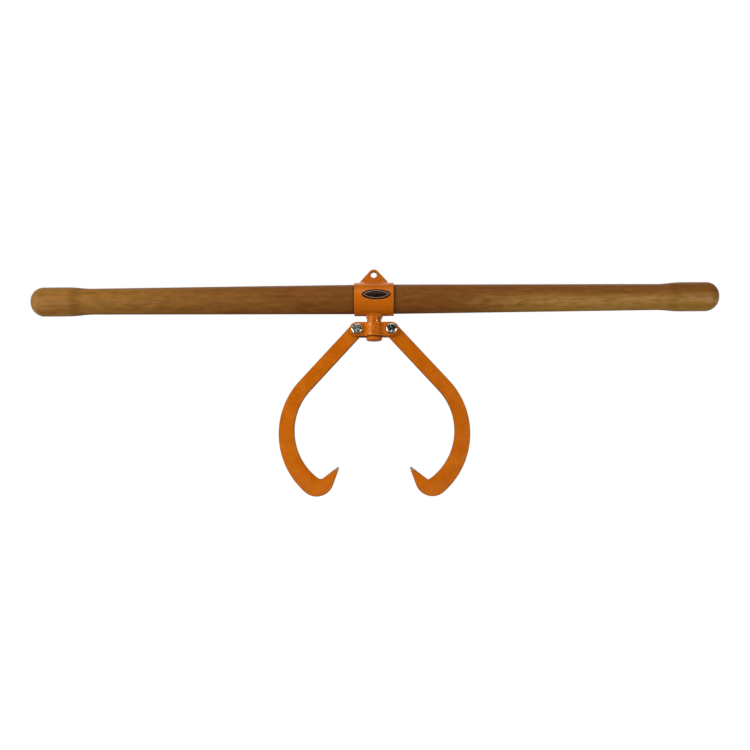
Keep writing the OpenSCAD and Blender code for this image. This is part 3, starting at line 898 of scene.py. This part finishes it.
def hexagonal(profile, hex_low, hex_high, top_r):
    """Spins profile about Y and moves the vertices of radius flats to the hexagon between two levels."""
    bm = turned(profile, Y, steps=72)
    for v in bm.verts:
        r = math.hypot(v.co.x, v.co.z)
        if abs(r - flats) < 0.01:
            reach = hex_reach(math.degrees(math.atan2(v.co.z, v.co.x)))
            low = abs(v.co.y - hex_low) < abs(v.co.y - hex_high)
            v.co.x, v.co.z = v.co.x * reach / r, v.co.z * reach / r
            drop = (reach - top_r) * math.tan(chamfer)
            if not low:
                v.co.y += drop if hex_low > hex_high else -drop
    return bm


print("a head's corners lie", round(hex_reach(0), 2), "mm from the bolt's axis")


# %% Thread
# lead_in is the taper at the bolt's end
thread_pitch, thread_depth, lead_in = 1.5, 0.92, 0.9


def thread(low, high):
    """A helical thread about Y between two levels, closed at both ends."""
    bm = bmesh.new()
    root_r = bolt_r - thread_depth
    section = [(root_r, 0.0), (bolt_r, 0.62), (bolt_r, 0.88), (root_r, thread_pitch)]
    verts = [bm.verts.new((r, low - thread_pitch + a, 0)) for r, a in section]
    edges = [bm.edges.new(pair) for pair in zip(verts, verts[1:])]
    rounds = math.ceil((high - low) / thread_pitch) + 2
    bmesh.ops.spin(bm, geom=verts + edges, cent=(0, 0, 0), axis=Y, dvec=(0, thread_pitch / 36, 0),
                   angle=math.tau * rounds, steps=36 * rounds)
    bmesh.ops.remove_doubles(bm, verts=bm.verts, dist=0.001)
    for level, way in ((low, -1), (high, 1)):
        bmesh.ops.bisect_plane(bm, geom=bm.verts[:] + bm.edges[:] + bm.faces[:], dist=1e-5,
                               plane_co=(0, level, 0), plane_no=(0, way, 0), clear_outer=True)
    bmesh.ops.holes_fill(bm, edges=[e for e in bm.edges if len(e.link_faces) == 1], sides=0)
    for v in bm.verts:
        r = math.hypot(v.co.x, v.co.z)
        limit = bolt_r - lead_in + max(0.0, min(lead_in, high - v.co.y))
        if r > limit:
            v.co.x, v.co.z = v.co.x * limit / r, v.co.z * limit / r
    return bm


print("the thread is cut", thread_depth, "mm deep")


# %% Bolts, washers and nuts
def join_into(bm, other):
    """Adds another bmesh to this one and frees it."""
    spare = bpy.data.meshes.new("spare")
    other.to_mesh(spare)
    other.free()
    bm.from_mesh(spare)
    bpy.data.meshes.remove(spare)


head_h, washer_t, nut_h, face_r, shank_end = 6.4, 2.0, 10.0, 8.1, 18.0
bolt_end = strap_face + washer_t + nut_h + 2.0
head_face = -strap_face - head_h
dish_r, dish_depth = 6.4, 0.55
# each profile is a list of depths along Y, with the radius at each
dish = [(head_face + dish_depth * (1 - (r / dish_r) ** 2), r) for r in (0.0, 1.6, 3.2, 4.4, 5.4, 6.1)]
flange = -strap_face - 0.5
bolt_profile = dish + [(head_face, dish_r), (head_face, head_top_r), (head_face, flats), (flange, flats),
                       (flange, face_r), (-strap_face, face_r), (-strap_face, bolt_r), (shank_end, bolt_r),
                       (shank_end, 0.0)]
nut_base = strap_face + washer_t
washer_profile = [(strap_face, 5.25), (nut_base, 5.25), (nut_base, 9.6), (nut_base - 0.4, 10.0),
                  (strap_face, 10.0)]
hex_top = nut_base + 7.8
nut_profile = [(nut_base + a, r) for a, r in (
    (0.0, snug_hole_r), (0.0, face_r), (0.4, face_r), (0.4, flats), (7.8, flats), (7.8, nut_top_r),
    (9.0, 7.9), (9.7, 7.4), (nut_h, 6.7), (9.8, 6.3), (9.4, 6.2), (9.4, snug_hole_r), (0.0, snug_hole_r))]
ring_profile = [(nut_base + a, r) for a, r in (
    (9.3, 5.02), (9.3, 6.15), (9.75, 6.1), (9.85, 5.6), (9.7, 5.1))]
for side, hand in ((-1, "left"), (1, "right")):
    bolt = hexagonal(bolt_profile, flange, head_face, head_top_r)
    if hand == "left":
        mark_wear_and_shade(bolt, lambda v: v.co.y < 0 and math.hypot(v.co.x, v.co.z) < dish_r - 0.1)
    join_into(bolt, thread(shank_end - 1.0, bolt_end))
    washer = turned(washer_profile, Y, steps=72, closed=True)
    nut = hexagonal(nut_profile, nut_base + 0.4, hex_top, nut_top_r)
    for bm, name, node in ((bolt, "_hex_bolt", "_bolt"), (washer, "_plain_washer", "_washer"),
                           (nut, "_lock_nut", "_nut")):
        finish_piece(moved(bm, x=side * pivot_x, z=pivot_z), hand + name, "yoke", "zinc_plate", zinc,
                     hand + node, crease=25)
    ring = turned(ring_profile, Y, steps=72, closed=True)
    finish_piece(moved(ring, x=side * pivot_x, z=pivot_z), hand + "_nut_ring", "yoke", None, nylon)

# %% [markdown]
# ## The collar screws
# Two pan-head screws at the back keep the handle from sliding in the collar. The screw is spun, with a
# plain shank in the wood, where its thread can't be seen. A cross recess is cut into the head with a
# Boolean, which suits a small cut that no spin or bevel can make. The result is applied at once, so
# that the piece is plain mesh like the others.


# %% Collar screws
def box(size_x, size_y, size_z):
    """A box about the origin."""
    bm = bmesh.new()
    bmesh.ops.create_cube(bm, size=1.0, matrix=Matrix.Diagonal((size_x, size_y, size_z, 1.0)))
    return bm


# tip, shank and pan head: depth along Y and radius
screw = [(-23.0, 0.0), (-22.8, 0.4), (-19.5, 2.35), (0.0, 2.35), (0.0, 4.75), (0.25, 4.8)]
screw += [(p.y, p.x) for p in arc((3.2, 1.6), 1.6, 0, 78, 8)]
screw += [(3.15, 2.4), (3.2, 0.0)]
blank = object_of(turned(screw, Y, steps=64), "screw_blank")
cross_len, cross_w, head_tall = 4.6, 0.95, 3.2
cross = box(cross_len, head_tall, cross_w)
join_into(cross, box(cross_w, head_tall, cross_len))
# centred on the head's top, so that the recess is half as deep as the head is tall
moved(cross, y=head_tall)
bmesh.ops.rotate(cross, verts=cross.verts, cent=(0, 0, 0), matrix=Matrix.Rotation(math.radians(24), 3, "Y"))
cutter = object_of(cross, "cross_cutter")
cut = blank.modifiers.new("recess", "BOOLEAN")
cut.operation, cut.solver, cut.object, cut.use_self = "DIFFERENCE", "EXACT", cutter, True
shaped = bpy.data.meshes.new_from_object(blank.evaluated_get(bpy.context.evaluated_depsgraph_get()))
bm = bmesh.new()
for x in (-22.0, 22.0):
    one = bmesh.new()
    one.from_mesh(shaped)
    moved(one, x=x, y=collar_r, z=axis_z)
    join_into(bm, one)
for spare in (blank, cutter):
    bpy.data.objects.remove(spare)
finish_piece(bm, "collar_pan_screws", "carrier", "zinc_plate", zinc, "collar_screws", crease=25)

# %% [markdown]
# ## The nodes that stay
# The bush and the corner welds inside the yoke hardly show, and their CAD shape is right, so the CAD
# nodes stay and only get the enamel.

# %% Paint the CAD nodes that stay
for node in ("yoke_bush", "yoke_welds"):
    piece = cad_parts[node]
    piece.data.materials.clear()
    piece.data.materials.append(paint)
print("kept:", [n for n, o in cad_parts.items() if not o.hide_render])

# %% [markdown]
# ## Floor, background and light
# The photograph is on plain white. The floor lies a hand's height below the handle, as when the tool
# is carried. Both floor and world show white to the camera, to gloss and through glass, while the
# light that falls on the object stays at a plain level, at which colours render as they are written.


# %% World and floor
white_light = (1, 1, 1, 1)


def seen_directly(tree):
    """One for rays of the camera, of gloss and through glass, and zero for those that light things."""
    rays = add_node(tree, "LightPath").outputs
    either = add_node(tree, "Math", {
        0: rays["Is Camera Ray"], 1: rays["Is Glossy Ray"]}, operation="MAXIMUM")
    return add_node(tree, "Math", {0: either, 1: rays["Is Transmission Ray"]}, operation="MAXIMUM")


def background_world(diffuse_level):
    """A world that looks white and lights the object with a lower, even level."""
    world = bpy.data.worlds.new("white_studio")
    bpy.context.scene.world = world
    world.use_nodes = True
    tree = world.node_tree
    tree.nodes.clear()
    fill = add_node(tree, "Background", {"Color": white_light, "Strength": diffuse_level})
    white = add_node(tree, "Background", {"Color": white_light, "Strength": 1.0})
    mix = add_node(tree, "MixShader", {0: seen_directly(tree), 1: fill, 2: white})
    add_node(tree, "OutputWorld", {"Surface": mix})


def floor_material(lift):
    """A matt floor that is lifted to white where it is seen."""
    material, tree = new_material("white_floor")
    matt = add_node(tree, "BsdfDiffuse", {"Color": (0.8, 0.8, 0.8, 1)})
    level = add_node(tree, "Math", {0: seen_directly(tree), 1: lift}, operation="MULTIPLY")
    glow = add_node(tree, "Emission", {"Color": white_light, "Strength": level})
    both = add_node(tree, "AddShader", {0: matt, 1: glow})
    add_node(tree, "OutputMaterial", {"Surface": both})
    return material


plain_level, floor_lift, floor_z = 0.29, 0.78, -0.80
background_world(plain_level)
bm = bmesh.new()
bmesh.ops.create_grid(bm, x_segments=1, y_segments=1, size=30.0)
floor = object_of(moved(bm, z=floor_z), "floor")
floor.data.materials.append(floor_material(floor_lift))
print("floor at", floor_z, "m, world at", plain_level)

# %% [markdown]
# Soft studio light comes from rectangular area lamps. A tall softbox on the left gives the upright
# highlights, a small lamp in front and above gives the thin line along the collar, and two boxes
# behind light the back. The broad ones on the right and at the back left would leave a pale veil in
# the paint, so gloss doesn't see them.


# %% Lamps
def softbox(name, place, aim_at, size, watts):
    """A rectangular lamp at place, in metres, facing aim_at."""
    lamp = bpy.data.lights.new(name, "AREA")
    lamp.shape = "RECTANGLE"
    lamp.size, lamp.size_y = size
    lamp.energy = watts
    made = bpy.data.objects.new(name, lamp)
    made.location = place
    made.rotation_mode = "QUATERNION"
    made.rotation_quaternion = (Vector(aim_at) - Vector(place)).to_track_quat("-Z", "Y")
    bpy.context.scene.collection.objects.link(made)
    return made


middle = (0.0, 0.0, -0.15)
softbox("left_softbox", (-2.1, -1.35, 0.42), middle, (0.30, 1.2), 34.5)
right_softbox = softbox("right_softbox", (1.4, -2.3, 0.3), middle, (1.2, 1.4), 10.2)
softbox("front_top_lamp", (0.05, -2.0, 1.25), middle, (0.30, 0.12), 2.2)
softbox("overhead_softbox", (0.2, -1.6, 2.2), middle, (2.6, 1.4), 18.0)
softbox("low_front_softbox", (0.0, -2.2, -0.70), middle, (2.4, 0.3), 2.2)
softbox("rear_softbox", (0.6, 2.5, 1.8), middle, (2.6, 1.6), 14.0)
rear_fill = softbox("rear_fill_softbox", (-0.9, 2.6, -0.1), middle, (1.8, 1.2), 15.0)
for hidden in (right_softbox, rear_fill):
    hidden.visible_glossy = False
print("lamps:", len(bpy.data.lights))

# %% [markdown]
# Glossy things look like what stands round them. Dark walls, a dark ceiling and a dark cloth on the
# floor, which only gloss can see, keep paint and metal from going pale, and two bright cards low on
# both sides give the crisp white glints on the bolts.


# %% Things that only gloss sees
def glow_material(name, strength):
    """A plain glow of a given strength."""
    material, tree = new_material(name)
    glow = add_node(tree, "Emission", {"Color": white_light, "Strength": strength})
    add_node(tree, "OutputMaterial", {"Surface": glow})
    return material


dark = glow_material("dark_studio_wall", 0.02)
bright = glow_material("bright_reflector_card", 25.0)
# each card's name, size, turn about an axis in degrees, place and material, in metres
for name, size, turn, axis, place, material in (
        ("dark_front", (6.4, 4.6), 90, "X", (0.0, -2.8, 1.5), dark),
        ("dark_left", (4.6, 3.4), 90, "Y", (-3.2, -1.1, 1.5), dark),
        ("dark_right", (4.6, 3.4), 90, "Y", (3.2, -1.1, 1.5), dark),
        ("dark_ceiling", (6.4, 3.4), 0, "X", (0.0, -1.1, 3.8), dark),
        ("low_left_card", (0.42, 0.70), 90, "Y", (-1.36, -1.38, -0.46), bright),
        ("low_right_card", (0.42, 0.70), 90, "Y", (1.27, -1.42, -0.46), bright),
        ("dark_floor_cloth", (2.4, 8.8), 0, "X", (0.0, 1.6, -0.79), dark)):
    bm = bmesh.new()
    bmesh.ops.create_grid(bm, x_segments=1, y_segments=1, size=0.5)
    bmesh.ops.scale(bm, verts=bm.verts, vec=(*size, 1.0))
    bmesh.ops.rotate(bm, verts=bm.verts, cent=(0, 0, 0), matrix=Matrix.Rotation(math.radians(turn), 3, axis))
    card = object_of(moved(bm, *place), name)
    card.data.materials.append(material)
    card.visible_camera = card.visible_diffuse = card.visible_shadow = card.visible_transmission = False
    print("placed", name)

# %% [markdown]
# ## The camera
# The photograph was taken from slightly below the handle and almost square on. The handle's ends give
# the scale, the collar's rims the side, and the yoke's underside the height of the camera. The camera
# looks up by 7.5 degrees from 1.43 m and is turned by 0.4 degrees, as the handle's slope shows.

# %% Camera
looking_up, from_right, rolled = math.radians(7.5), math.radians(0.4), math.radians(0.39)
focal_px, image_px, sensor = 812.8, 750.0, 36.0
away = 1.430
aim = Vector((0.00095, 0.0, -0.17987))
forward = Vector((-math.sin(from_right) * math.cos(looking_up),
                  math.cos(from_right) * math.cos(looking_up), math.sin(looking_up)))
lens_data = bpy.data.cameras.new("photo_camera")
lens_data.sensor_width = sensor
lens_data.lens = sensor * focal_px / image_px
camera = bpy.data.objects.new("photo_camera", lens_data)
camera.location = aim - forward * away
camera.rotation_mode = "QUATERNION"
camera.rotation_quaternion = forward.to_track_quat("-Z", "Y") @ Quaternion((0, 0, 1), -rolled)
bpy.context.scene.collection.objects.link(camera)
bpy.context.scene.camera = camera
bpy.context.scene.view_settings.view_transform = "Standard"
print("lens", round(lens_data.lens, 2), "mm")
